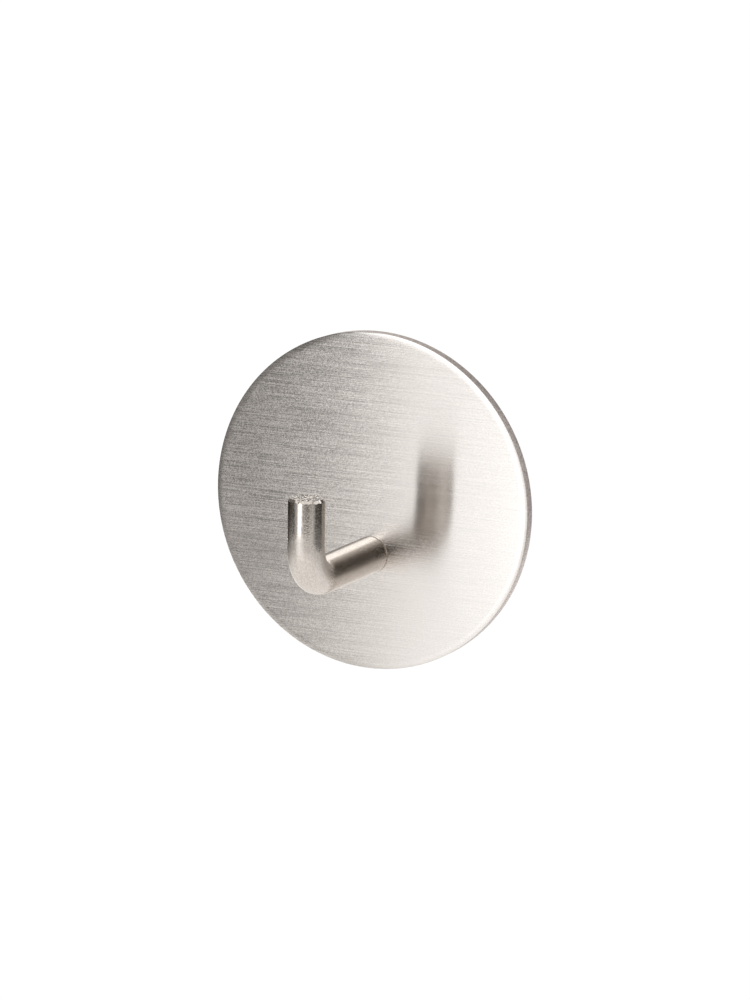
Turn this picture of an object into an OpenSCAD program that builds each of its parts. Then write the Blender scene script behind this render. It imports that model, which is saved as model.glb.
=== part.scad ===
// Adhesive wall hook: a bent steel rod on a round steel plate, with a foam pad behind the plate.
// The wall side is the plane y = 0, the hook stands out along -Y, and +Z is up.
// Sizes are in millimetres.

/* [Base plate] */
// Diameter of the plate
plate_d = 55; // [40:0.5:90]
// Thickness of the plate
plate_t = 2; // [1.6:0.1:4]
// Width of the front edge's roll-over, across the face
edge_roll_w = 0.8; // [0.4:0.1:4]
// Depth of the front edge's roll-over
edge_roll_h = 0.07; // [0.05:0.01:0.8]
// Chamfer of the back edge
back_chamfer = 0.1; // [0.05:0.05:0.6]

/* [Hook rod] */
// Diameter of the rod
rod_d = 6; // [5:0.1:9]
// Distance of the rod's axis below the plate's centre
rod_drop = 8.8; // [0:0.1:14]
// Straight length from the plate's front face to the bend
shank_l = 18; // [8:0.5:40]
// Radius of the bend, at the rod's axis
bend_r = 6; // [5:0.1:15]
// Straight length of the upright, from the bend to its chamfer
upright_l = 7.35; // [2:0.05:40]
// Chamfer at the upright's tip
tip_chamfer = 0.35; // [0.2:0.05:1.2]
// Chamfer of the shoulder that seats on the plate
root_chamfer = 0.25; // [0.05:0.05:0.5]

/* [Rod fixing] */
// Diameter of the spigot that passes through the plate
spigot_d = 4; // [2.5:0.1:4.5]
// Radial clearance of the spigot in the plate's hole
spigot_clearance = 0.05; // [0.02:0.01:0.15]
// Width of the weld round the hole, at the plate's back
weld_w = 1.1; // [0.5:0.1:2]
// Depth of the weld, from the plate's back
weld_h = 1.1; // [0.5:0.1:1.5]

/* [Foam pad] */
// Margin of bare plate round the pad
pad_margin = 2.5; // [1:0.1:6]
// Thickness of the foam core
foam_t = 0.8; // [0.4:0.1:3]
// Thickness of each adhesive film
film_t = 0.1; // [0.05:0.01:0.3]

/* [Release liner] */
// Thickness of the liner
liner_t = 0.1; // [0.05:0.01:0.3]
// Width of the liner's pull tab
tab_w = 12; // [6:0.5:20]
// Reach of the pull tab past the pad's edge
tab_reach = 2; // [0.5:0.1:6]

/* [Hidden] */
$fn = 96;

// Radii
plate_r = plate_d / 2;
rod_r = rod_d / 2;
spigot_r = spigot_d / 2;
hole_r = spigot_r + spigot_clearance;
pad_r = plate_r - pad_margin;

// Wall-side plane of each layer, from the wall out to the bend
film_y = -liner_t;
foam_y = film_y - film_t;
inner_film_y = foam_y - foam_t;
plate_y = inner_film_y - film_t;
front_y = plate_y - plate_t;
bend_y = front_y - shank_l;

// Heights along the rod
shank_z = -rod_drop;
bend_z = shank_z + bend_r;

// Facets of the edge's roll-over
roll_steps = 8;

// Stand children on the plane at y, at height z, with their own +Z turned to -Y
module out_from(y, z = 0) {
    translate([0, y, z]) rotate([90, 0, 0]) children();
}

// Half of the plate's cross-section, back face at 0 and front face at plate_t
module plate_profile() {
    roll = [
        for (i = [0 : roll_steps])
            let (t = 1 - i / roll_steps)
            [plate_r - edge_roll_w * (1 - t), plate_t - edge_roll_h * t * t]
    ];
    polygon(concat(
        [[0, 0], [plate_r - back_chamfer, 0], [plate_r, back_chamfer]],
        roll,
        [[0, plate_t]]
    ));
}

// Countersink behind the hole, which the weld fills, with its wide end on the plate's back
module weld_cone() {
    cylinder(r1 = hole_r + weld_w, r2 = hole_r, h = weld_h);
}

// Round disc of the pad
module pad_disc(t) {
    cylinder(r = pad_r, h = t);
}

module base_plate() {
    color("#B5AFA9") difference() {
        out_from(plate_y) rotate_extrude() plate_profile();
        out_from(plate_y, shank_z) cylinder(r = hole_r, h = plate_t);
        out_from(plate_y, shank_z) weld_cone();
    }
}

module hook_rod() {
    color("#C2B8AE") {
        out_from(plate_y, shank_z) cylinder(r = spigot_r, h = plate_t);
        out_from(front_y, shank_z) cylinder(r1 = rod_r - root_chamfer, r2 = rod_r, h = root_chamfer);
        out_from(front_y - root_chamfer, shank_z) cylinder(r = rod_r, h = shank_l - root_chamfer);
        translate([0, bend_y, bend_z])
            rotate([0, 90, 180])
                rotate_extrude(angle = 90) translate([bend_r, 0]) circle(r = rod_r);
        translate([0, bend_y - bend_r, bend_z]) {
            cylinder(r = rod_r, h = upright_l);
            translate([0, 0, upright_l]) cylinder(r1 = rod_r, r2 = rod_r - tip_chamfer, h = tip_chamfer);
        }
    }
}

module weld_ring() {
    color("#8E8881") difference() {
        out_from(plate_y, shank_z) weld_cone();
        out_from(plate_y, shank_z) cylinder(r = spigot_r, h = weld_h);
    }
}

module plate_adhesive() {
    color("#E3DFD2") out_from(inner_film_y) pad_disc(film_t);
}

module foam_core() {
    color("#4C4D50") out_from(foam_y) pad_disc(foam_t);
}

module wall_adhesive() {
    color("#E3DFD2") out_from(film_y) pad_disc(film_t);
}

module release_liner() {
    color("#EFE7D3") out_from(0) linear_extrude(height = liner_t) {
        circle(r = pad_r);
        intersection() {
            circle(r = pad_r + tab_reach);
            translate([-tab_w / 2, -pad_r - tab_reach]) square([tab_w, pad_r + tab_reach]);
        }
    }
}

base_plate();
hook_rod();
weld_ring();
plate_adhesive();
foam_core();
wall_adhesive();
release_liner();
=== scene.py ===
"""Looks of an adhesive wall hook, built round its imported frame.

The hook is a bent steel rod on a round brushed plate. Behind the plate are a foam pad with an
adhesive film on each side and a paper release liner. All lengths are in metres.
"""

import logging
import math
from abc import ABC, abstractmethod
from dataclasses import dataclass, field
from enum import Enum

import bmesh
import bpy
from bmesh.types import BMFace, BMVert, BMesh
from bpy.types import ID, Material, Mesh, Node, NodeOutputs, NodeTree, Object, NodeSocket as Socket
from mathutils import Matrix, Vector, noise


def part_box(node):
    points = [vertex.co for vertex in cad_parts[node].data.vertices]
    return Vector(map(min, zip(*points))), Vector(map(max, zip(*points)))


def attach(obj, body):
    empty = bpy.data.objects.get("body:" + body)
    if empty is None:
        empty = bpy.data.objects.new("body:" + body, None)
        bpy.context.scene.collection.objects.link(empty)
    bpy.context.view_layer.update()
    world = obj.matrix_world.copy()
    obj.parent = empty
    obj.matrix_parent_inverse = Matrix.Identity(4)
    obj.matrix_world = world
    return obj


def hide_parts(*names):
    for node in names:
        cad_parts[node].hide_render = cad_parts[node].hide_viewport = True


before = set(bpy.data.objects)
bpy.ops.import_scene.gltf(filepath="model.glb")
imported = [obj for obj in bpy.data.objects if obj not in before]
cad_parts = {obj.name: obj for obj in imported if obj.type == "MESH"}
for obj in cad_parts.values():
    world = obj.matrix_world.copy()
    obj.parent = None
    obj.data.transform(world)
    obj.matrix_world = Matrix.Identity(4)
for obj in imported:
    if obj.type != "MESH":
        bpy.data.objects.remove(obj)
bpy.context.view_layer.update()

LOG = logging.getLogger("wall_hook")
MM = 0.001
MIDDLE = 0.5
NOISE_ROUGHNESS = 0.6

Triple = tuple[float, float, float]
Color = Triple
Ring = list[Vector]
Tones = tuple[tuple[float, float], ...]

ACROSS: Triple = (0.0, 0.0, math.pi / 2)


class Body(Enum):
    """Bodies of the frame that pieces ride on."""

    HOOK = "hook"
    LINER = "liner"


class Slot(Enum):
    """Material slots of the record."""

    PLATE = "plate_steel"
    ROD = "rod_steel"
    ADHESIVE = "adhesive"
    FOAM = "foam"
    LINER = "liner_paper"


class Use(Enum):
    """Layers of a finish that tell one of its values."""

    FIRST = "first"
    SECOND = "second"
    BOTH = "both"


class Bench:
    """A node tree with short ways to add and join its nodes."""

    def __init__(self, tree: NodeTree) -> None:
        """Keep the shader or geometry tree that gets the nodes."""
        self.tree = tree

    def feed(self, target: Socket, value: object) -> None:
        """Join a socket to an input, or set a plain value there.

        Args:
            target: Input to feed.
            value: Output socket or plain value.
        """
        if isinstance(value, Socket):
            self.tree.links.new(value, target)
        else:
            target.default_value = value

    def add(self, kind: str, feeds: dict[str, object] | None = None, **settings: object) -> Node:
        """Add a node, set its properties and feed its inputs.

        Args:
            kind: Type name of the node.
            feeds: Sockets or plain values by the input's name.
            settings: Properties of the node by name.

        Returns:
            The new node.
        """
        node = self.tree.nodes.new(kind)
        for name, value in settings.items():
            setattr(node, name, value)
        for name, value in (feeds or {}).items():
            self.feed(node.inputs[name], value)
        return node

    def math(self, operation: str, *values: object) -> Socket:
        """Add a Math node.

        Args:
            operation: Name of the operation.
            values: Its operands, in order.

        Returns:
            The result's socket.
        """
        node = self.add("ShaderNodeMath", operation=operation)
        for target, value in zip(node.inputs, values):
            self.feed(target, value)
        return node.outputs[0]

    def total(self, *values: object) -> Socket:
        """Add up two or more values.

        Args:
            values: Sockets or plain numbers.

        Returns:
            The sum's socket.
        """
        result = values[0]
        for value in values[1:]:
            result = self.math("ADD", result, value)
        return result

    def mean(self, *values: object) -> Socket:
        """Give the mean of some values."""
        return self.math("MULTIPLY", self.total(*values), 1 / len(values))

    def around(self, mask: Socket, middle: float, spread: float) -> Socket:
        """Turn a mask from 0 to 1 into a value that swings about its middle, by the whole spread."""
        return self.math("MULTIPLY_ADD", mask, spread, middle - spread / 2)

    def smooth(self, value: object, low: object, high: object) -> Socket:
        """Map a value to a smooth mask that runs from 0 at low to 1 at high."""
        feeds = {"Value": value, "From Min": low, "From Max": high}
        return self.add("ShaderNodeMapRange", feeds, interpolation_type="SMOOTHSTEP").outputs["Result"]

    def mix(self, factor: object, first: object, second: object) -> Socket:
        """Mix two colours.

        Args:
            factor: Share of the second colour.
            first: First colour.
            second: Second colour.

        Returns:
            The mixed colour's socket.
        """
        node = self.add("ShaderNodeMix", data_type="RGBA")
        sockets = {s.identifier: s for s in node.inputs}
        self.feed(sockets["Factor_Float"], factor)
        for name, colour in (("A_Color", first), ("B_Color", second)):
            self.feed(sockets[name], colour if isinstance(colour, Socket) else (*colour, 1.0))
        return next(s for s in node.outputs if s.identifier == "Result_Color")

    def object_place(self) -> Socket:
        """Give the place on the piece, in Object coordinates."""
        return self.add("ShaderNodeTexCoord").outputs["Object"]

    def parts(self, place: Socket) -> NodeOutputs:
        """Split a place into its X, Y and Z."""
        return self.add("ShaderNodeSeparateXYZ", {"Vector": place}).outputs

    def turned(self, place: Socket, angles: Triple) -> Socket:
        """Turn a place about each axis, so that a pattern along X runs another way."""
        return self.add("ShaderNodeMapping", {"Vector": place, "Rotation": angles}).outputs["Vector"]


class Effect(ABC):
    """A shader node group that more than one finish uses."""

    name: str
    inputs: tuple[tuple[str, str, object], ...]
    output: str

    @abstractmethod
    def wire(self, bench: Bench, given: NodeOutputs) -> Socket:
        """Build the nodes between the group's inputs and its output, and give that output."""

    def tree(self) -> NodeTree:
        """Give the group's tree, built on first use.

        Returns:
            The node tree.
        """
        found = bpy.data.node_groups.get(self.name)
        if found:
            return found
        tree = bpy.data.node_groups.new(self.name, "ShaderNodeTree")
        for name, kind, value in self.inputs:
            made = tree.interface.new_socket(name, in_out="INPUT", socket_type=kind)
            if value is not None:
                made.default_value = value
        tree.interface.new_socket(self.output, in_out="OUTPUT", socket_type="NodeSocketFloat")
        bench = Bench(tree)
        given = bench.add("NodeGroupInput").outputs
        bench.add("NodeGroupOutput", {self.output: self.wire(bench, given)})
        return tree

    def place(self, bench: Bench, **feeds: object) -> Socket:
        """Place the group in a material, with sockets or plain values by the input's name."""
        return bench.add("ShaderNodeGroup", feeds, node_tree=self.tree()).outputs[self.output]

    @staticmethod
    def speckle(bench: Bench, place: Socket, scale: object, given: NodeOutputs) -> Socket:
        """Build noise with the group's detail and contrast.

        Args:
            bench: Bench on the group's tree.
            place: Socket of the place.
            scale: Socket or plain number of the noise's scale.
            given: Sockets that carry the group's inputs.

        Returns:
            The noise as a mask, about one half on average.
        """
        feeds = {"Vector": place, "Scale": scale, "Detail": given["Detail"], "Roughness": NOISE_ROUGHNESS}
        raw = bench.add("ShaderNodeTexNoise", feeds).outputs["Fac"]
        centred = bench.math("SUBTRACT", raw, MIDDLE)
        return bench.math("MULTIPLY_ADD", centred, given["Contrast"], MIDDLE)


class BrushLines(Effect):
    """Fine broken lines that run along X, as a brush or a drawing die leaves them."""

    name = "brush_lines"
    output = "Lines"
    inputs = (
        ("Vector", "NodeSocketVector", None),
        ("Length", "NodeSocketFloat", 4 * MM),
        ("Pitch", "NodeSocketFloat", 0.2 * MM),
        ("Contrast", "NodeSocketFloat", 1.0),
        ("Detail", "NodeSocketFloat", 2.0),
    )

    def wire(self, bench: Bench, given: NodeOutputs) -> Socket:
        """Build stretched noise with its contrast.

        Args:
            bench: Bench on the group's tree.
            given: Sockets that carry the group's inputs.

        Returns:
            The mask of the lines, about one half on average.
        """
        parts = bench.parts(given["Vector"])
        stretched = {
            axis: bench.math("DIVIDE", parts[axis], given[size])
            for axis, size in (("X", "Length"), ("Y", "Pitch"), ("Z", "Pitch"))
        }
        place = bench.add("ShaderNodeCombineXYZ", stretched).outputs["Vector"]
        return self.speckle(bench, place, 1.0, given)


class Grain(Effect):
    """Even speckle of one size, for pits, sparkle, fibres' mottle and stains."""

    name = "grain"
    output = "Grain"
    inputs = (
        ("Vector", "NodeSocketVector", None),
        ("Size", "NodeSocketFloat", 0.2 * MM),
        ("Contrast", "NodeSocketFloat", 1.0),
        ("Detail", "NodeSocketFloat", 2.0),
    )

    def wire(self, bench: Bench, given: NodeOutputs) -> Socket:
        """Build noise of one size with its contrast."""
        scale = bench.math("DIVIDE", 1.0, given["Size"])
        return self.speckle(bench, given["Vector"], scale, given)


LINES = BrushLines()
GRAIN = Grain()


@dataclass(frozen=True)
class Layer(ABC):
    """One pattern of a finish, with its width or size."""

    size: float

    @abstractmethod
    def mask(self, bench: Bench, place: Socket) -> Socket:
        """Lay the pattern over a place, as a mask."""


@dataclass(frozen=True)
class Speckle(Layer):
    """Grain of one size."""

    contrast: float = 1.0

    def mask(self, bench: Bench, place: Socket) -> Socket:
        """Lay the grain over a place, as a mask."""
        return GRAIN.place(bench, Vector=place, Size=self.size, Contrast=self.contrast)


@dataclass(frozen=True)
class Strokes(Layer):
    """Lines of one width, that run in one direction or cross in several."""

    length: float = 1.0 * MM
    contrast: float = 1.0
    turns: tuple[Triple, ...] = ((0.0, 0.0, 0.0),)

    def mask(self, bench: Bench, place: Socket) -> Socket:
        """Lay the lines over a place, as a mask.

        Args:
            bench: Bench on the material's tree.
            place: Socket of the place.

        Returns:
            The mean of the lines in all directions.
        """
        feeds = {"Length": self.length, "Pitch": self.size, "Contrast": self.contrast}
        runs = [LINES.place(bench, Vector=bench.turned(place, turn), **feeds) for turn in self.turns]
        return bench.mean(*runs)


@dataclass(frozen=True)
class Cells(Layer):
    """Round cells with soft walls between them."""

    wall: tuple[float, float] = (0.1, 0.7)

    def mask(self, bench: Bench, place: Socket) -> Socket:
        """Lay the cells over a place, as a mask."""
        cells = bench.add("ShaderNodeTexVoronoi", {"Vector": place, "Scale": 1 / self.size})
        return bench.smooth(cells.outputs["Distance"], *self.wall)


class Finish(ABC):
    """A finish that makes one material, from its dark to its light colour."""

    name: str
    dark: Color
    light: Color
    metallic: float = 1.0

    @abstractmethod
    def wire(self, bench: Bench, shader: Node) -> None:
        """Build the nodes that feed the material's Principled shader."""

    def material(self) -> Material:
        """Give the finish's material, built on first use.

        Returns:
            The material.
        """
        found = bpy.data.materials.get(self.name)
        if found:
            return found
        made = bpy.data.materials.new(self.name)
        made.use_nodes = True
        shader = made.node_tree.nodes["Principled BSDF"]
        self.wire(Bench(made.node_tree), shader)
        return made

    def coat(self, bench: Bench, shader: Node, tone: Socket, roughness: Socket) -> None:
        """Set the shader's colour, roughness and metal.

        Args:
            bench: Bench on the material's tree.
            shader: Principled shader of the material.
            tone: Mask from the dark to the light colour.
            roughness: Socket of the roughness.
        """
        bench.feed(shader.inputs["Base Color"], bench.mix(tone, self.dark, self.light))
        bench.feed(shader.inputs["Roughness"], roughness)
        shader.inputs["Metallic"].default_value = self.metallic

    @staticmethod
    def bump(bench: Bench, shader: Node, height: Socket, depth: float) -> None:
        """Raise the surface by a mask of its height, as far as the depth where the mask is 1."""
        normal = bench.add("ShaderNodeBump", {"Height": height, "Distance": depth, "Strength": 1.0})
        bench.feed(shader.inputs["Normal"], normal.outputs["Normal"])


@dataclass(frozen=True)
class BrushedFace(Finish):
    """Satin face of the plate, brushed from side to side."""

    name: str = "brushed_face"
    dark: Color = (0.315, 0.293, 0.274)
    light: Color = (0.945, 0.879, 0.822)
    roughness: float = 0.165
    roughness_swing: float = 0.05
    anisotropy: float = 1.0
    uv_map: str = "brush"
    line_length: float = 25 * MM
    dash_length: float = 7 * MM
    pitch: float = 0.11 * MM
    line_contrast: float = 0.75
    dash_contrast: float = 0.95
    grain_size: float = 0.16 * MM
    grain_contrast: float = 1.4
    fade: tuple[float, float] = (-15 * MM, 8.5 * MM)
    fade_slope: float = -0.05
    faded_share: float = 0.14
    low_fade: tuple[float, float] = (2 * MM, -9 * MM)
    low_share: float = 0.7
    depth: float = 0.003 * MM
    lean: float = math.radians(2.5)
    side_lean: float = math.radians(0.3)

    def wire(self, bench: Bench, shader: Node) -> None:
        """Lay lines, dashes and grain over the face, whose shading leans up and a little sideways.

        Args:
            bench: Bench on the material's tree.
            shader: Principled shader of the material.
        """
        place = bench.object_place()
        parts = bench.parts(place)
        plain = {"Vector": place, "Detail": 0.0}
        lines, dashes = (
            LINES.place(bench, Length=length, Pitch=self.pitch, Contrast=contrast, **plain)
            for length, contrast in (
                (self.line_length, self.line_contrast),
                (self.dash_length, self.dash_contrast),
            )
        )
        grain = GRAIN.place(bench, Size=self.grain_size, Contrast=self.grain_contrast, **plain)
        marks = bench.total(lines, dashes, grain, -2 * MIDDLE)
        centred = bench.math("SUBTRACT", marks, MIDDLE)
        shown = bench.math("MULTIPLY_ADD", centred, self.strength(bench, parts), MIDDLE)
        self.coat(bench, shader, shown, bench.around(marks, self.roughness, self.roughness_swing))
        shader.inputs["Anisotropic"].default_value = self.anisotropy
        tangent = bench.add("ShaderNodeTangent", direction_type="UV_MAP", uv_map=self.uv_map)
        bench.feed(shader.inputs["Tangent"], tangent.outputs["Tangent"])
        ridges = bench.math("MULTIPLY", bench.total(lines, dashes), self.depth)
        sideways = bench.math("MULTIPLY_ADD", parts["X"], math.tan(self.side_lean), ridges)
        height = bench.math("MULTIPLY_ADD", parts["Z"], -math.tan(self.lean), sideways)
        self.bump(bench, shader, height, 1.0)

    def strength(self, bench: Bench, parts: NodeOutputs) -> Socket:
        """Give the strength of the marks, which fade towards the right and the bottom.

        Args:
            bench: Bench on the material's tree.
            parts: X, Y and Z of the place.

        Returns:
            The strength's socket.
        """
        slanted = bench.math("MULTIPLY_ADD", parts["Z"], self.fade_slope, parts["X"])
        worn = bench.smooth(slanted, *self.fade)
        low = bench.smooth(parts["Z"], *self.low_fade)
        fresh = bench.math("MULTIPLY_ADD", low, self.low_share - 1, 1.0)
        step = bench.math("SUBTRACT", self.faded_share, fresh)
        return bench.math("MULTIPLY_ADD", worn, step, fresh)


@dataclass(frozen=True)
class PolishedRod(Finish):
    """Drawn and polished steel of the rod, with drawing lines, pits and a bend that is dulled."""

    name: str = "polished_rod"
    dark: Color = (0.59, 0.54, 0.49)
    light: Color = (0.77, 0.705, 0.64)
    upright_roughness: float = 0.09
    bend_roughness: float = 0.41
    shank_roughness: float = 0.12
    back_roughness: float = 0.50
    roughness_swing: float = 0.10
    back_side: tuple[float, float] = (-27.5 * MM, -25.5 * MM)
    shank_end: tuple[float, float] = (19.2 * MM, 25 * MM)
    upright_start: tuple[float, float] = (30.4 * MM, 32.4 * MM)
    ragged: float = 1.2 * MM
    side_gloss: float = 0.25 / MM
    line_length: float = 5 * MM
    line_pitch: float = 0.25 * MM
    line_contrast: float = 1.2
    pit_size: float = 0.25 * MM
    pit_contrast: float = 3.6
    depth: float = 0.0025 * MM
    along_name: str = "along"
    round_name: str = "round"

    def wire(self, bench: Bench, shader: Node) -> None:
        """Lay drawing lines and pits along the rod, and dull its bend.

        Args:
            bench: Bench on the material's tree.
            shader: Principled shader of the material.
        """
        along = bench.add("ShaderNodeAttribute", attribute_name=self.along_name).outputs["Fac"]
        turn = bench.add("ShaderNodeAttribute", attribute_name=self.round_name).outputs["Vector"]
        parts = bench.parts(turn)
        feeds = {"X": along, "Y": parts["X"], "Z": parts["Y"]}
        place = bench.add("ShaderNodeCombineXYZ", feeds).outputs["Vector"]
        feeds = {"Length": self.line_length, "Pitch": self.line_pitch, "Contrast": self.line_contrast}
        lines = LINES.place(bench, Vector=place, **feeds)
        pits = GRAIN.place(bench, Vector=place, Size=self.pit_size, Contrast=self.pit_contrast)
        marks = bench.total(lines, pits, -MIDDLE)
        border = bench.math("MULTIPLY_ADD", bench.math("SUBTRACT", lines, MIDDLE), self.ragged, along)
        swing = bench.around(marks, 0.0, self.roughness_swing)
        self.coat(bench, shader, marks, bench.math("ADD", self.level(bench, border), swing))
        self.bump(bench, shader, marks, self.depth)

    def level(self, bench: Bench, border: Socket) -> Socket:
        """Give the roughness along the shank, the bend and the upright, and behind the upright.

        Args:
            bench: Bench on the material's tree.
            border: Length along the rod, made ragged by the drawing lines.

        Returns:
            The roughness's socket.
        """
        spot = bench.parts(bench.object_place())
        sideways = bench.math("MULTIPLY", spot["X"], spot["X"])
        lifted = bench.math("MULTIPLY_ADD", sideways, self.side_gloss, border)
        in_bend = bench.smooth(border, *self.shank_end)
        in_upright = bench.smooth(lifted, *self.upright_start)
        behind = bench.math("MULTIPLY", in_upright, bench.smooth(spot["Y"], *self.back_side))
        steps = (
            (in_bend, self.bend_roughness - self.shank_roughness),
            (in_upright, self.upright_roughness - self.bend_roughness),
            (behind, self.back_roughness - self.upright_roughness),
        )
        level = self.shank_roughness
        for share, step in steps:
            level = bench.math("MULTIPLY_ADD", share, step, level)
        return level


@dataclass(frozen=True)
class LayeredFinish(Finish):
    """A finish of two layers, which tell its tone, its dullness and its height."""

    name: str
    dark: Color
    light: Color
    roughness: float
    roughness_swing: float
    depth: float
    first: Layer
    second: Layer
    tone: Use = Use.BOTH
    dull: Use = Use.SECOND
    height: Use = Use.BOTH
    metallic: float = 1.0

    def wire(self, bench: Bench, shader: Node) -> None:
        """Lay both layers over the piece.

        Args:
            bench: Bench on the material's tree.
            shader: Principled shader of the material.
        """
        place = bench.object_place()
        masks = (self.first.mask(bench, place), self.second.mask(bench, place))
        tone, dull, height = (self.pick(bench, use, masks) for use in (self.tone, self.dull, self.height))
        self.coat(bench, shader, tone, bench.around(dull, self.roughness, self.roughness_swing))
        self.bump(bench, shader, height, self.depth)

    @staticmethod
    def pick(bench: Bench, use: Use, masks: tuple[Socket, Socket]) -> Socket:
        """Give the first mask, the second or the mean of both.

        Args:
            bench: Bench on the material's tree.
            use: Layers to use.
            masks: Masks of both layers.

        Returns:
            The mask's socket.
        """
        if use is Use.BOTH:
            return bench.mean(*masks)
        return masks[0] if use is Use.FIRST else masks[1]


@dataclass(frozen=True)
class CutEdge(LayeredFinish):
    """Punched rim of the plate: shear marks across its thickness, and grain."""

    name: str = "cut_edge"
    dark: Color = (0.27, 0.235, 0.215)
    light: Color = (0.76, 0.665, 0.61)
    roughness: float = 0.48
    roughness_swing: float = 0.1
    depth: float = 0.02 * MM
    first: Layer = Strokes(size=0.12 * MM, length=1.2 * MM, contrast=2.6, turns=(ACROSS,))
    second: Layer = Speckle(size=0.2 * MM, contrast=3.6)


@dataclass(frozen=True)
class MillBack(LayeredFinish):
    """Dull rolled back of the plate: faint stains, and grain."""

    name: str = "mill_back"
    dark: Color = (0.46, 0.445, 0.43)
    light: Color = (0.60, 0.58, 0.56)
    roughness: float = 0.42
    roughness_swing: float = 0.12
    depth: float = 0.006 * MM
    first: Layer = Speckle(size=6 * MM, contrast=1.4)
    second: Layer = Speckle(size=0.25 * MM, contrast=1.6)
    dull: Use = Use.FIRST
    height: Use = Use.SECOND


@dataclass(frozen=True)
class SawnEnd(LayeredFinish):
    """Rough sawn face at the rod's tip: saw marks, and grain."""

    name: str = "sawn_end"
    dark: Color = (0.16, 0.145, 0.13)
    light: Color = (0.98, 0.92, 0.86)
    roughness: float = 0.26
    roughness_swing: float = 0.12
    depth: float = 0.03 * MM
    first: Layer = Strokes(size=0.35 * MM, length=1.6 * MM, contrast=6.0, turns=(ACROSS,))
    second: Layer = Speckle(size=0.35 * MM, contrast=6.0)


@dataclass(frozen=True)
class GroundWeld(LayeredFinish):
    """Weld ground flush: grinding marks, and a heat tint."""

    name: str = "ground_weld"
    dark: Color = (0.26, 0.23, 0.21)
    light: Color = (0.50, 0.47, 0.44)
    roughness: float = 0.45
    roughness_swing: float = 0.14
    depth: float = 0.01 * MM
    first: Layer = Strokes(size=0.15 * MM, length=2.5 * MM, contrast=1.8)
    second: Layer = Speckle(size=1.5 * MM, contrast=1.8)
    height: Use = Use.FIRST


@dataclass(frozen=True)
class TackyFilm(LayeredFinish):
    """Clear acrylic adhesive film: clouds, and ripples."""

    name: str = "tacky_film"
    dark: Color = (0.66, 0.635, 0.55)
    light: Color = (0.80, 0.785, 0.72)
    roughness: float = 0.16
    roughness_swing: float = 0.08
    depth: float = 0.01 * MM
    first: Layer = Speckle(size=2.5 * MM, contrast=1.5)
    second: Layer = Speckle(size=0.8 * MM, contrast=1.5)
    tone: Use = Use.FIRST
    height: Use = Use.SECOND
    metallic: float = 0.0


@dataclass(frozen=True)
class CellFoam(LayeredFinish):
    """Dark closed-cell foam: cells cut open at the edge, and a slow change of tone."""

    name: str = "cell_foam"
    dark: Color = (0.035, 0.035, 0.038)
    light: Color = (0.115, 0.115, 0.12)
    roughness: float = 0.8
    roughness_swing: float = 0.1
    depth: float = 0.05 * MM
    first: Layer = Cells(size=0.16 * MM)
    second: Layer = Speckle(size=3 * MM, contrast=1.2)
    dull: Use = Use.FIRST
    height: Use = Use.FIRST
    metallic: float = 0.0


@dataclass(frozen=True)
class GlassinePaper(LayeredFinish):
    """Glazed release paper, cream: clouds, and fibres that cross in it."""

    name: str = "glassine_paper"
    dark: Color = (0.70, 0.62, 0.45)
    light: Color = (0.92, 0.875, 0.76)
    roughness: float = 0.38
    roughness_swing: float = 0.1
    depth: float = 0.008 * MM
    first: Layer = Speckle(size=6 * MM, contrast=1.3)
    second: Layer = Strokes(
        size=0.28 * MM,
        length=3.0 * MM,
        contrast=4.5,
        turns=((0.0, 0.3, 0.0), (0.0, 1.4, 0.0), (0.0, 2.4, 0.0)),
    )
    dull: Use = Use.FIRST
    height: Use = Use.SECOND
    metallic: float = 0.0


def link(name: str, data: ID) -> Object:
    """Make an object and put it in the scene.

    Args:
        name: Name of the object.
        data: Mesh or camera that it shows.

    Returns:
        The object.
    """
    made = bpy.data.objects.new(name, data)
    bpy.context.scene.collection.objects.link(made)
    return made


def bridge(shell: BMesh, first: list[BMVert], second: list[BMVert]) -> list[BMFace]:
    """Join two rings of points by quads, or by triangles where one is a single point.

    Args:
        shell: Mesh that holds the points.
        first: Points of the first ring.
        second: Points of the second ring.

    Returns:
        The new faces.
    """
    count = max(len(first), len(second))
    faces = []
    for i in range(count):
        walk = ((first, i), (first, i + 1), (second, i + 1), (second, i))
        corners = [ring[k % len(ring)] for ring, k in walk]
        faces.append(shell.faces.new(list(dict.fromkeys(corners))))
    return faces


def skin(name: str, rings: list[Ring], closed: bool = False) -> Object:
    """Skin a run of rings with quads, with its faces turned outwards.

    Args:
        name: Name of the piece.
        rings: Rings of points, all of one count. A ring of one point is a pole.
        closed: Whether the last ring joins the first.

    Returns:
        The piece's object.
    """
    shell = bmesh.new()
    made = [[shell.verts.new(point) for point in ring] for ring in rings]
    pairs = list(zip(made, made[1:]))
    if closed:
        pairs.append((made[-1], made[0]))
    for first, second in pairs:
        bridge(shell, first, second)
    bmesh.ops.recalc_face_normals(shell, faces=shell.faces)
    mesh = bpy.data.meshes.new(name)
    shell.to_mesh(mesh)
    shell.free()
    return link(name, mesh)


def circle(radius: float, y: float, z: float, count: int) -> Ring:
    """Give a ring of points round the Y direction, on plane y about height z, from +X towards +Z."""
    turns = [math.tau * i / count for i in range(count)]
    return [Vector((radius * math.cos(a), y, z + radius * math.sin(a))) for a in turns]


def shade(piece: Object, sharp_angle: float) -> None:
    """Shade a piece smooth, apart from edges whose faces meet at more than the sharp angle."""
    piece.data.shade_smooth()
    piece.data.set_sharp_from_angle(angle=sharp_angle)


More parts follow.
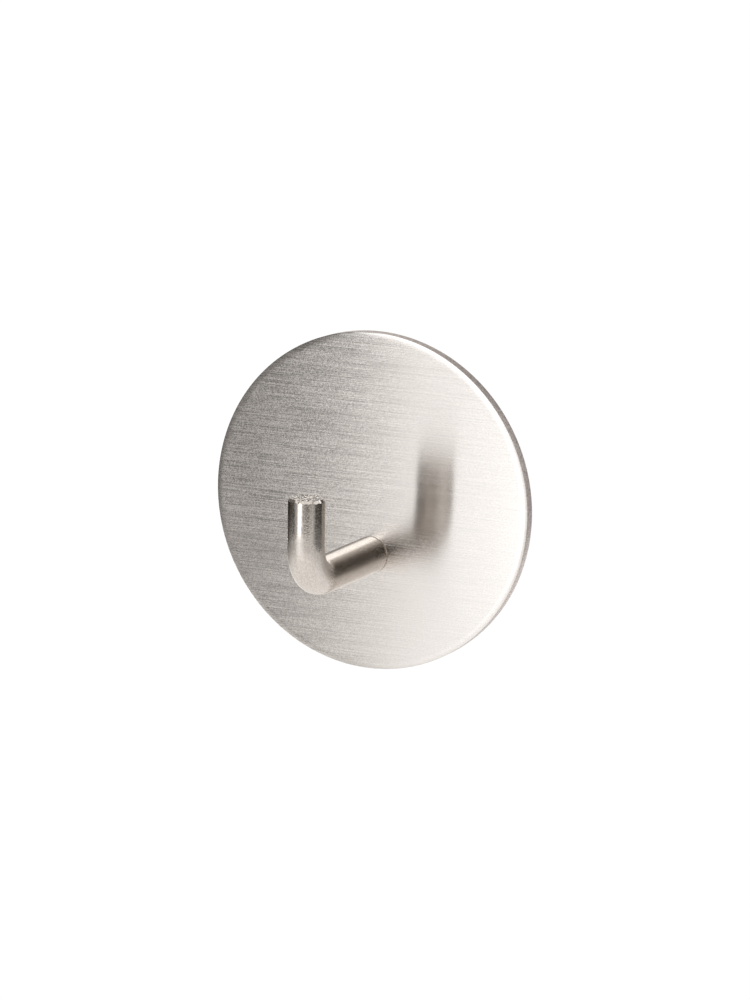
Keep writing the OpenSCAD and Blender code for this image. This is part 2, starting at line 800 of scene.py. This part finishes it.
class SubAssembly(ABC):
    """A group of pieces that is built, dressed and put on one body."""

    body: Body

    @abstractmethod
    def build(self) -> list[Object]:
        """Build and dress the pieces, and give them."""

    def settle(self, piece: Object, slot: Slot, node: str) -> Object:
        """Put a piece on its body, in the place of its CAD node.

        Args:
            piece: Finished piece.
            slot: Material slot of the record; not used.
            node: CAD node that the piece stands for.

        Returns:
            The piece.
        """
        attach(piece, self.body.value)
        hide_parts(node)
        return piece


@dataclass
class BasePlate(SubAssembly):
    """Round brushed plate, with a rolled-over edge and the hole for the rod."""

    roll_width: float = 1.1 * MM
    roll_depth: float = 0.075 * MM
    corner_width: float = 0.13 * MM
    corner_depth: float = 0.08 * MM
    corner_bias: float = 0.8
    corner_flare: float = 0.08 * MM
    flare_turn: float = math.radians(145)
    back_chamfer: float = 0.1 * MM
    hole_radius: float = 2.05 * MM
    weld_radius: float = 3.15 * MM
    weld_depth: float = 1.1 * MM
    flat_margin: float = 0.3 * MM
    roll_steps: int = 14
    corner_steps: int = 6
    count: int = 256
    sharp_angle: float = math.radians(32)
    face_limit: float = -0.3
    back_limit: float = 0.9
    front: float = field(init=False)
    back: float = field(init=False)
    radius: float = field(init=False)
    hole_z: float = field(init=False)
    body: Body = Body.HOOK

    def build(self) -> list[Object]:
        """Build the plate and lay its finishes on its faces.

        Returns:
            The plate alone.
        """
        low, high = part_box("base_plate")
        rod_low, rod_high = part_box("hook_rod")
        self.front, self.back = low.y, high.y
        self.radius = (high.x - low.x) / 2
        self.hole_z = rod_low.z + rod_high.x
        plate = skin("plate", self.rings(), closed=True)
        shade(plate, self.sharp_angle)
        self.unwrap(plate.data)
        self.dress(plate.data)
        return [self.settle(plate, Slot.PLATE, "base_plate")]

    def rings(self) -> list[Ring]:
        """Give the rings of the plate, from the hole's front edge round to it again.

        Returns:
            Rings on the hole, the face, the rolled edge, the rim, the back and the countersink.
        """
        hole = [
            (self.weld_radius, self.back),
            (self.hole_radius, self.back - self.weld_depth),
            (self.hole_radius, self.front),
        ]
        shares = [i / self.roll_steps for i in range(self.roll_steps + 1)]
        turns = [math.pi / 2 * (i + 1) / self.corner_steps for i in range(self.corner_steps)]
        flat = (self.radius - self.roll_width - self.flat_margin, self.front)
        back = [
            (self.radius, self.back - self.back_chamfer),
            (self.radius - self.back_chamfer, self.back),
        ]
        hole_rings = [circle(r, y, self.hole_z, self.count) for r, y in hole]
        flat_ring = circle(*flat, 0.0, self.count)
        roll_rings = [self.edge_ring(share, 0.0) for share in shares]
        corner_rings = [self.edge_ring(1.0, turn) for turn in turns]
        back_rings = [circle(r, y, 0.0, self.count) for r, y in back]
        return [*hole_rings, flat_ring, *roll_rings, *corner_rings, *back_rings]

    def edge_ring(self, share: float, bend: float) -> Ring:
        """Give a ring on the front edge, whose corner is worn more on the left.

        Args:
            share: Distance across the roll-over, as a share of its width.
            bend: Angle round the corner, from the face to the rim.

        Returns:
            The points, from +X towards +Z.
        """
        inner = self.radius - self.roll_width
        points = []
        for i in range(self.count):
            turn = math.tau * i / self.count
            worn = 1 - self.corner_bias * math.cos(turn)
            width, depth = self.corner_width * worn, self.corner_depth * worn
            rim = self.radius + self.corner_flare * (1 + math.cos(turn - self.flare_turn)) / 2
            reach = inner + (rim - width - inner) * share + width * math.sin(bend)
            y = self.front + self.roll_depth * share**2 + depth * (1 - math.cos(bend))
            points.append(Vector((reach * math.cos(turn), y, reach * math.sin(turn))))
        return points

    def unwrap(self, mesh: Mesh) -> None:
        """Lay the brushing's UV map over the plate, with U up the plate.

        Args:
            mesh: Mesh of the plate.
        """
        layer = mesh.uv_layers.new(name=BrushedFace.uv_map)
        for loop in mesh.loops:
            point = mesh.vertices[loop.vertex_index].co
            layer.uv[loop.index].vector = (point.z / self.radius, point.x / self.radius)

    def dress(self, mesh: Mesh) -> None:
        """Give each face its finish by where it lies.

        Args:
            mesh: Mesh of the plate.
        """
        for finish in (BrushedFace(), CutEdge(), MillBack()):
            mesh.materials.append(finish.material())
        brushed, cut, mill = range(len(mesh.materials))
        for face in mesh.polygons:
            if face.normal.y < self.face_limit:
                face.material_index = brushed
            elif face.normal.y > self.back_limit:
                face.material_index = mill
            else:
                face.material_index = cut


@dataclass
class HookRod(SubAssembly):
    """Bent rod with its spigot, swept along its path by Geometry Nodes."""

    bend_radius: float = 6.0 * MM
    tip_chamfer: float = 0.35 * MM
    root_chamfer: float = 0.25 * MM
    spigot_radius: float = 2.0 * MM
    step: float = 0.01 * MM
    merge: float = 0.001 * MM
    corner_point: int = 4
    corner_margin: float = 0.5
    bend_steps: int = 48
    sides: int = 96
    tip_rings: int = 10
    tip_relief: float = 0.1 * MM
    tip_dish: float = 0.05 * MM
    tip_grit: float = 0.45 * MM
    tip_ragged: float = 0.22 * MM
    tip_wear: float = 0.1
    sharp_angle: float = math.radians(32)
    body: Body = Body.HOOK

    def build(self) -> list[Object]:
        """Sweep the rod, roughen its tip and dress it.

        Returns:
            The rod alone.
        """
        rod = self.sweep()
        self.roughen_tip(rod.data)
        shade(rod, self.sharp_angle)
        return [self.settle(rod, Slot.ROD, "hook_rod")]

    def inputs(self) -> dict[str, tuple[str, object]]:
        """Give the named inputs of the sweep, worked out from the frame.

        Returns:
            Socket type and value by the input's name.
        """
        low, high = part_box("hook_rod")
        plate_low, plate_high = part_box("base_plate")
        radius = high.x
        shank_z = low.z + radius
        upright_y = low.y + radius
        start = Vector((0.0, plate_high.y, shank_z))
        number, vector = "NodeSocketFloat", "NodeSocketVector"
        return {
            "Start": (vector, start),
            "Spigot Length": (number, plate_high.y - plate_low.y),
            "Reach": (number, plate_high.y - upright_y),
            "Height": (number, high.z - shank_z),
            "Bend Radius": (number, self.bend_radius),
            "Rod Radius": (number, radius),
            "Spigot Radius": (number, self.spigot_radius),
            "Root Chamfer": (number, self.root_chamfer),
            "Tip Chamfer": (number, self.tip_chamfer),
            "Bend Steps": ("NodeSocketInt", self.bend_steps),
            "Sides": ("NodeSocketInt", self.sides),
            "Finish": ("NodeSocketMaterial", PolishedRod().material()),
        }

    def tree(self, inputs: dict[str, tuple[str, object]]) -> NodeTree:
        """Build the tree that sweeps a circle along the bent path.

        Args:
            inputs: Socket type and value by the input's name.

        Returns:
            The geometry node tree.
        """
        tree = bpy.data.node_groups.new("rod_sweep", "GeometryNodeTree")
        for name, (kind, _) in inputs.items():
            tree.interface.new_socket(name, in_out="INPUT", socket_type=kind)
        tree.interface.new_socket("Geometry", in_out="OUTPUT", socket_type="NodeSocketGeometry")
        bench = Bench(tree)
        given = bench.add("NodeGroupInput").outputs
        index = bench.add("GeometryNodeInputIndex").outputs["Index"]

        spigot, reach, height = given["Spigot Length"], given["Reach"], given["Height"]
        rod, root, tip = given["Rod Radius"], given["Root Chamfer"], given["Tip Chamfer"]
        shoulder = bench.math("ADD", spigot, root)
        out = [0.0, bench.math("SUBTRACT", spigot, self.step), spigot, shoulder, reach, reach, reach]
        up = [0.0, 0.0, 0.0, 0.0, 0.0, bench.math("SUBTRACT", height, tip), height]
        thin, seat = given["Spigot Radius"], bench.math("SUBTRACT", rod, root)
        widths = [thin, thin, seat, rod, rod, rod, bench.math("SUBTRACT", rod, tip)]

        line = bench.add("GeometryNodeMeshLine", {"Count": len(out)})
        away = bench.math("MULTIPLY", self.choose(bench, index, out), -1.0)
        offset = bench.add("ShaderNodeCombineXYZ", {"Y": away, "Z": self.choose(bench, index, up)})
        point = bench.add("ShaderNodeVectorMath", operation="ADD")
        bench.feed(point.inputs[0], given["Start"])
        bench.feed(point.inputs[1], offset.outputs[0])
        feeds = {"Geometry": line.outputs["Mesh"], "Position": point.outputs["Vector"]}
        placed = bench.add("GeometryNodeSetPosition", feeds)
        path = bench.add("GeometryNodeMeshToCurve", {"Mesh": placed.outputs["Geometry"]})
        feeds = {"Curve": path.outputs["Curve"], "Radius": self.choose(bench, index, widths)}
        sized = bench.add("GeometryNodeSetCurveRadius", feeds)
        at_corner = bench.math("COMPARE", index, float(self.corner_point), self.corner_margin)
        feeds = {
            "Curve": sized.outputs["Curve"],
            "Radius": bench.math("MULTIPLY", at_corner, given["Bend Radius"]),
            "Count": given["Bend Steps"],
        }
        bent = bench.add("GeometryNodeFilletCurve", feeds, mode="POLY")
        ring = bench.add("GeometryNodeCurvePrimitiveCircle", {"Resolution": given["Sides"], "Radius": 1.0})
        length = bench.add("GeometryNodeSplineParameter").outputs["Length"]
        spot = bench.add("ShaderNodeVectorMath", operation="SCALE")
        bench.feed(spot.inputs["Vector"], bench.add("GeometryNodeInputPosition").outputs["Position"])
        bench.feed(spot.inputs["Scale"], rod)
        feeds = {
            "Curve": self.store(bench, bent.outputs["Curve"], PolishedRod.along_name, "FLOAT", length),
            "Profile Curve": self.store(
                bench, ring.outputs["Curve"], PolishedRod.round_name, "FLOAT_VECTOR", spot.outputs["Vector"]
            ),
            "Scale": bench.add("GeometryNodeInputRadius").outputs["Radius"],
            "Fill Caps": True,
        }
        swept = bench.add("GeometryNodeCurveToMesh", feeds)
        whole = bench.add("GeometryNodeRealizeInstances", {"Geometry": swept.outputs["Mesh"]})
        feeds = {"Geometry": whole.outputs["Geometry"], "Material": given["Finish"]}
        dressed = bench.add("GeometryNodeSetMaterial", feeds)
        bench.add("NodeGroupOutput", {"Geometry": dressed.outputs["Geometry"]})
        return tree

    @staticmethod
    def choose(bench: Bench, index: Socket, values: list[object]) -> Socket:
        """Pick one value for each point of the path.

        Args:
            bench: Bench on the tree.
            index: Socket of the point's index.
            values: Sockets or plain numbers, one for each point.

        Returns:
            The chosen value's socket.
        """
        switch = bench.add("GeometryNodeIndexSwitch", {"Index": index}, data_type="FLOAT")
        while len(switch.index_switch_items) < len(values):
            switch.index_switch_items.new()
        for target, value in zip(list(switch.inputs)[1:], values):
            bench.feed(target, value)
        return switch.outputs["Output"]

    @staticmethod
    def store(bench: Bench, curve: Socket, name: str, kind: str, value: Socket) -> Socket:
        """Store a value on the points of a curve, for the material to read.

        Args:
            bench: Bench on the tree.
            curve: Socket of the curve.
            name: Name of the attribute.
            kind: Data type of the attribute.
            value: Socket of the value.

        Returns:
            The socket of the curve that carries the attribute.
        """
        feeds = {"Geometry": curve, "Name": name}
        node = bench.add("GeometryNodeStoreNamedAttribute", feeds, data_type=kind, domain="POINT")
        bench.feed(node.inputs["Value"], value)
        return node.outputs["Geometry"]

    def sweep(self) -> Object:
        """Run the tree and keep its result as a plain mesh.

        Returns:
            The rod's object.
        """
        inputs = self.inputs()
        tree = self.tree(inputs)
        rod = link("rod", bpy.data.meshes.new("rod_start"))
        modifier = rod.modifiers.new("rod_sweep", "NODES")
        modifier.node_group = tree
        sockets = {s.name: s.identifier for s in tree.interface.items_tree if s.in_out == "INPUT"}
        for name, (_, value) in inputs.items():
            modifier[sockets[name]] = value
        graph = bpy.context.evaluated_depsgraph_get()
        mesh = bpy.data.meshes.new_from_object(rod.evaluated_get(graph), depsgraph=graph)
        rod.modifiers.clear()
        rod.data = mesh
        mesh.name = "rod"
        return rod

    def roughen_tip(self, mesh: Mesh) -> None:
        """Replace the flat end of the upright by a rough sawn face.

        Args:
            mesh: Mesh of the rod.
        """
        mesh.materials.append(SawnEnd().material())
        shell = bmesh.new()
        shell.from_mesh(mesh)
        bmesh.ops.remove_doubles(shell, verts=shell.verts, dist=self.merge)
        end = max(shell.faces, key=lambda face: face.calc_center_median().z)
        rim = list(end.verts)
        middle = end.calc_center_median()
        shell.faces.remove(end)
        for vert in shell.verts:
            if vert.co.z > middle.z - self.tip_chamfer - self.step:
                vert.co.z += self.tip_ragged * (noise.noise(vert.co / self.tip_grit) - self.tip_wear)
        sawn_index = len(mesh.materials) - 1
        outer = rim
        for k in range(1, self.tip_rings + 1):
            share = 1 - k / self.tip_rings
            count = len(rim) if share > 0 else 1
            ring = [shell.verts.new(self.sawn(middle, rim[i].co, share)) for i in range(count)]
            for face in bridge(shell, outer, ring):
                face.material_index = sawn_index
            outer = ring
        bmesh.ops.recalc_face_normals(shell, faces=shell.faces)
        shell.to_mesh(mesh)
        shell.free()

    def sawn(self, middle: Vector, rim: Vector, share: float) -> Vector:
        """Give a point on the sawn end.

        Args:
            middle: Middle of the end.
            rim: Point on the end's rim.
            share: Distance from the middle, as a share of the way to the rim.

        Returns:
            The point, raised or sunk by the saw.
        """
        point = middle.lerp(rim, share)
        point.z += self.tip_relief * noise.noise(point / self.tip_grit) - self.tip_dish * (1 - share**2)
        return point


@dataclass
class WeldRing(SubAssembly):
    """Ground weld round the spigot, kept as its CAD solid."""

    body: Body = Body.HOOK

    def build(self) -> list[Object]:
        """Give the weld its finish.

        Returns:
            The weld's CAD node.
        """
        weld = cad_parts["weld_ring"]
        weld.data.materials.clear()
        weld.data.materials.append(GroundWeld().material())
        return [weld]


@dataclass
class FoamPad(SubAssembly):
    """Foam core with an adhesive film on each side."""

    bulge: float = 0.10 * MM
    ripple: float = 0.05 * MM
    ripple_size: float = 2.5 * MM
    squeeze: float = 0.04 * MM
    edge_steps: int = 10
    count: int = 256
    sharp_angle: float = math.radians(50)
    body: Body = Body.HOOK

    def build(self) -> list[Object]:
        """Build the foam and both films.

        Returns:
            The three pieces, from the plate to the wall.
        """
        inner = self.layer("plate_film", "plate_adhesive", self.squeeze, TackyFilm())
        core = self.layer("foam", "foam_core", self.bulge, CellFoam())
        outer = self.layer("wall_film", "wall_adhesive", self.squeeze, TackyFilm())
        slots = (Slot.ADHESIVE, Slot.FOAM, Slot.ADHESIVE)
        nodes = ("plate_adhesive", "foam_core", "wall_adhesive")
        return [self.settle(*row) for row in zip((inner, core, outer), slots, nodes)]

    def layer(self, name: str, node: str, bulge: float, finish: Finish) -> Object:
        """Build a disc whose edge bulges a little and runs in a slow ripple.

        Args:
            name: Name of the piece.
            node: CAD node that gives its planes and radius.
            bulge: How far the middle of the edge stands out.
            finish: Finish of the disc.

        Returns:
            The disc.
        """
        low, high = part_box(node)
        radius = (high.x - low.x) / 2
        shares = [i / self.edge_steps for i in range(self.edge_steps + 1)]
        edge = []
        for share in shares:
            stand = bulge * math.sin(math.pi * share)
            y = low.y + (high.y - low.y) * share
            ring = circle(radius + stand, y, 0.0, self.count)
            edge.append([self.rippled(point) for point in ring])
        front, back = Vector((0.0, low.y, 0.0)), Vector((0.0, high.y, 0.0))
        disc = skin(name, [[front], *edge, [back]])
        shade(disc, self.sharp_angle)
        disc.data.materials.append(finish.material())
        return disc

    def rippled(self, point: Vector) -> Vector:
        """Move a point of the edge in or out by a slow ripple."""
        out = Vector((point.x, 0.0, point.z)).normalized()
        return point + out * self.ripple * noise.noise(point / self.ripple_size)


@dataclass
class ReleaseLiner(SubAssembly):
    """Paper liner over the wall adhesive, with a pull tab that lifts a little."""

    tab_width: float = 12 * MM
    tab_reach: float = 2 * MM
    corner: float = math.radians(1.6)
    tab_lift: float = 0.6 * MM
    lift_start: float = 0.8
    lift_blend: float = 3.0
    rings: int = 24
    count: int = 360
    sharp_angle: float = math.radians(40)
    radius: float = field(init=False)
    body: Body = Body.LINER

    def build(self) -> list[Object]:
        """Build the liner with its lifted tab.

        Returns:
            The liner alone.
        """
        low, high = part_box("release_liner")
        self.radius = high.z
        shares = [i / self.rings for i in range(1, self.rings + 1)]
        front = [self.ring(share, low.y) for share in shares]
        back = [self.ring(share, high.y) for share in reversed(shares)]
        poles = [[Vector((0.0, y, 0.0))] for y in (low.y, high.y)]
        liner = skin("liner", [poles[0], *front, *back, poles[1]])
        shade(liner, self.sharp_angle)
        liner.data.materials.append(GlassinePaper().material())
        return [self.settle(liner, Slot.LINER, "release_liner")]

    def tab_side(self) -> float:
        """Give the angle between the tab's middle and its side."""
        return math.asin(self.tab_width / 2 / (self.radius + self.tab_reach))

    def reach(self, turn: float) -> float:
        """Give the outline's radius at an angle from straight down, with the tab's corners rounded."""
        share = min(max((abs(turn) - self.tab_side()) / self.corner, 0.0), 1.0)
        return self.radius + self.tab_reach - self.tab_reach * share * share * (3 - 2 * share)

    def ring(self, share: float, y: float) -> Ring:
        """Give a ring of the liner, with the tab lifted off the plate.

        Args:
            share: Distance from the middle, as a share of the way to the outline.
            y: Plane of the ring where it lies flat.

        Returns:
            The points, from straight down round to it again.
        """
        tab_end = self.tab_side() + self.corner
        beyond = max(share - self.lift_start, 0.0) / (1 - self.lift_start)
        points = []
        for i in range(self.count):
            turn = math.tau * i / self.count
            turn = turn - math.tau if turn > math.pi else turn
            radius = self.reach(turn) * share
            near_tab = max(1 - abs(turn) / tab_end, 0.0)
            lift = self.tab_lift * beyond**2 * min(near_tab * self.lift_blend, 1.0)
            points.append(Vector((radius * math.sin(turn), y + lift, -radius * math.cos(turn))))
        return points


@dataclass(frozen=True)
class PhotoCamera:
    """Camera at the photograph's view of the hook."""

    azimuth: float = math.radians(25.14)
    elevation: float = math.radians(11.95)
    roll: float = math.radians(1.16)
    distance: float = 1.5
    focal_px: float = 9341.0
    long_side_px: float = 1000.0
    sensor_mm: float = 36.0
    aim: Triple = (0.55 * MM, -2.87 * MM, 0.21 * MM)

    def place(self) -> Object:
        """Make the camera and look through it.

        Returns:
            The camera's object.
        """
        sine, cosine = math.sin(self.azimuth), math.cos(self.azimuth)
        level = math.cos(self.elevation)
        right = Vector((cosine, sine, 0.0))
        back = Vector((sine * level, -cosine * level, math.sin(self.elevation)))
        up = back.cross(right)
        side = math.cos(self.roll) * right + math.sin(self.roll) * up
        top = math.cos(self.roll) * up - math.sin(self.roll) * right
        turn = Matrix((side, top, back)).transposed().to_4x4()
        lens = bpy.data.cameras.new("photo_camera")
        lens.sensor_width = self.sensor_mm
        lens.lens = self.focal_px * self.sensor_mm / self.long_side_px
        camera = link("photo_camera", lens)
        camera.matrix_world = Matrix.Translation(Vector(self.aim) + back * self.distance) @ turn
        bpy.context.scene.camera = camera
        return camera


@dataclass(frozen=True)
class ToneBand:
    """Tones of the screen from one height up: direction in degrees, and brightness there."""

    start: tuple[float, float]
    tones: Tones


HIGH_RIGHT: Tones = ((62, 1.0), (105, 1.7), (125, 1.7), (140, 0.25), (165, 0.3), (190, 0.75), (205, 0.95))


@dataclass(frozen=True)
class Studio:
    """White floor, white surroundings and a ring of soft light and shade that only reflections show."""

    floor_z: float = -0.12
    floor_half: float = 6.0
    floor_color: float = 0.88
    floor_glow: float = 0.14
    world_color: Color = (1.0, 1.0, 1.0)
    screen_radius: float = 0.20
    screen_middle: float = -0.015
    screen_top: float = 0.26
    screen_left: float = -130.0
    screen_right: float = 230.0
    screen_steps: int = 180
    screen_turn: float = math.radians(0.6)
    tone_scale: float = 3.0
    warm_below: float = 0.3
    cool_above: float = 1.2
    cool_span: float = 6.0
    coolest: float = 0.08
    bands: tuple[ToneBand, ...] = (
        ToneBand(
            (-0.13, -0.12),
            ((-105, 1.0), (-28, 1.0), (-20, 1.4), (5, 1.4), (15, 1.0), (150, 1.0), (170, 1.8)),
        ),
        ToneBand(
            (-0.105, -0.07),
            (
                (-105, 0.15), (-85, 0.4), (-70, 0.55), (-45, 0.5), (-32, 0.49), (-28, 0.94), (-24, 1.42),
                (-21, 1.6), (-8, 1.4), (0, 1.2), (40, 1.2), (65, 0.7), (90, 0.35), (145, 0.3), (152, 1.6),
                (168, 3.0),
            ),
        ),
        ToneBand(
            (-0.049, -0.042),
            (
                (-105, 0.03), (-75, 0.08), (-51, 0.1), (-45, 0.3), (-39, 0.47), (-32, 0.54), (-28, 0.9),
                (-24, 1.47), (-20, 1.6), (-16, 2.5), (-9, 2.5), (-5, 1.4), (0, 0.6), (8, 0.38), (20, 0.3),
                (34, 0.2), (44, 0.4), (62, 0.5), (70, 0.36), (80, 0.1), (120, 0.04), (152, 0.04), (160, 0.5),
            ),
        ),
        ToneBand(
            (-0.019, -0.005),
            (
                (-105, 0.2), (-36, 0.32), (-31, 0.38), (-28, 0.52), (-24, 1.22), (-17, 1.6), (-3, 1.5),
                (4, 0.7), (14, 0.32), (20, 0.08), (48, 0.08), *HIGH_RIGHT,
            ),
        ),
        ToneBand(
            (0.034, 0.064),
            (
                (-105, 0.2), (-38, 0.2), (-33, 0.3), (-27, 2.5), (-9, 2.6), (-3, 1.3), (8, 0.7), (20, 0.2),
                (30, 0.08), (48, 0.08), *HIGH_RIGHT,
            ),
        ),
    )

    def set_up(self) -> None:
        """Make the floor, the screen and the world, and set the plain view."""
        view = bpy.context.scene.view_settings
        view.view_transform = "Standard"
        self.light_world()
        self.lay_floor()
        self.hang_screen()

    def light_world(self) -> None:
        """Surround the scene with even white light."""
        world = bpy.data.worlds.new("white_room")
        world.use_nodes = True
        background = world.node_tree.nodes["Background"]
        background.inputs["Color"].default_value = (*self.world_color, 1.0)
        background.inputs["Strength"].default_value = 1.0
        bpy.context.scene.world = world

    @staticmethod
    def blank(name: str) -> tuple[Material, Bench]:
        """Make a material with an empty tree.

        Args:
            name: Name of the material.

        Returns:
            The material, and a bench on its tree.
        """
        material = bpy.data.materials.new(name)
        material.use_nodes = True
        material.node_tree.nodes.clear()
        return material, Bench(material.node_tree)

    def lay_floor(self) -> Object:
        """Lay a floor that is white from above and keeps the shadow.

        Returns:
            The floor's object.
        """
        half, z = self.floor_half, self.floor_z
        mesh = bpy.data.meshes.new("floor")
        corners = [(-half, -half, z), (half, -half, z), (half, half, z), (-half, half, z)]
        mesh.from_pydata(corners, [], [(0, 1, 2, 3)])
        mesh.materials.append(self.floor_material())
        return link("floor", mesh)

    def floor_material(self) -> Material:
        """Make the floor's white, with a faint glow where it is seen, and clear from below.

        Returns:
            The material.
        """
        material, bench = self.blank("white_floor")
        grey = (self.floor_color, self.floor_color, self.floor_color, 1.0)
        dull = bench.add("ShaderNodeBsdfDiffuse", {"Color": grey})
        ray = bench.add("ShaderNodeLightPath").outputs
        seen = bench.total(ray["Is Camera Ray"], ray["Is Glossy Ray"], ray["Is Transmission Ray"])
        shown = bench.math("MINIMUM", seen, 1.0)
        strength = bench.math("MULTIPLY", shown, self.floor_glow)
        glow = bench.add("ShaderNodeEmission", {"Strength": strength})
        lit = bench.add("ShaderNodeAddShader")
        bench.feed(lit.inputs[0], dull.outputs["BSDF"])
        bench.feed(lit.inputs[1], glow.outputs["Emission"])
        clear = bench.add("ShaderNodeBsdfTransparent")
        side = bench.add("ShaderNodeNewGeometry").outputs["Backfacing"]
        one_sided = bench.add("ShaderNodeMixShader", {"Fac": side})
        bench.feed(one_sided.inputs[1], lit.outputs["Shader"])
        bench.feed(one_sided.inputs[2], clear.outputs["BSDF"])
        bench.add("ShaderNodeOutputMaterial", {"Surface": one_sided.outputs["Shader"]})
        return material

    def hang_screen(self) -> Object:
        """Hang the round screen whose light and shade the metal mirrors.

        Returns:
            The screen's object.
        """
        left, right = math.radians(self.screen_left), math.radians(self.screen_right)
        turns = [left + (right - left) * i / self.screen_steps for i in range(self.screen_steps + 1)]
        points = []
        for z in (self.floor_z, self.screen_top):
            for turn in turns:
                x = self.screen_radius * math.sin(turn)
                y = self.screen_middle - self.screen_radius * math.cos(turn)
                points.append((x, y, z))
        row = len(turns)
        faces = [(i, i + 1, row + i + 1, row + i) for i in range(row - 1)]
        mesh = bpy.data.meshes.new("screen")
        mesh.from_pydata(points, [], faces)
        mesh.shade_smooth()
        mesh.materials.append(self.screen_material())
        screen = link("screen", mesh)
        screen.visible_camera = False
        screen.visible_diffuse = False
        screen.visible_shadow = False
        return screen

    def screen_material(self) -> Material:
        """Make the screen's glow, with tones by direction in bands by height.

        Returns:
            The material.
        """
        material, bench = self.blank("screen_glow")
        parts = bench.parts(bench.object_place())
        forward = bench.math("SUBTRACT", self.screen_middle, parts["Y"])
        left, right = math.radians(self.screen_left), math.radians(self.screen_right)
        facing = bench.math("ADD", bench.math("ARCTAN2", parts["X"], forward), self.screen_turn)
        turn = bench.math("WRAP", facing, right, left)
        share = bench.math("DIVIDE", bench.math("SUBTRACT", turn, left), right - left)
        tone = self.ramp(bench, share, self.bands[0].tones)
        for band in self.bands[1:]:
            here = bench.smooth(parts["Z"], *band.start)
            tone = bench.mix(here, tone, self.ramp(bench, share, band.tones))
        glow = bench.add("ShaderNodeEmission", {"Color": tone, "Strength": self.tone_scale})
        bench.add("ShaderNodeOutputMaterial", {"Surface": glow.outputs["Emission"]})
        return material

    def ramp(self, bench: Bench, share: Socket, tones: Tones) -> Socket:
        """Make a colour ramp from tones by direction.

        Args:
            bench: Bench on the screen's material.
            share: Socket of the direction, as a share of the screen's sweep.
            tones: Direction in degrees and brightness there.

        Returns:
            The tone's socket.
        """
        node = bench.add("ShaderNodeValToRGB", {"Fac": share})
        elements = node.color_ramp.elements
        while len(elements) < len(tones):
            elements.new(1.0)
        sweep = self.screen_right - self.screen_left
        for element, (degrees, tone) in zip(elements, tones):
            level = tone / self.tone_scale
            warmth = max(self.warm_below - tone, 0.0)
            coolness = min(max(tone - self.cool_above, 0.0) / self.cool_span, self.coolest)
            tint = (1 - coolness / 2, 1 - warmth / 2, 1 - warmth + coolness / 2)
            element.position = (degrees - self.screen_left) / sweep
            element.color = (*(level * part for part in tint), 1.0)
        return node.outputs["Color"]


def main() -> None:
    """Build the hook, its pad and its liner, and set up the studio."""
    logging.basicConfig(level=logging.INFO, format="%(name)s: %(message)s")
    PhotoCamera().place()
    Studio().set_up()
    for assembly in (BasePlate(), HookRod(), WeldRing(), FoamPad(), ReleaseLiner()):
        for piece in assembly.build():
            facts = (type(assembly).__name__, piece.name, len(piece.data.polygons), assembly.body.value)
            LOG.info("%s: %s, %d faces, on %s", *facts)


if __name__ == "__main__":
    main()
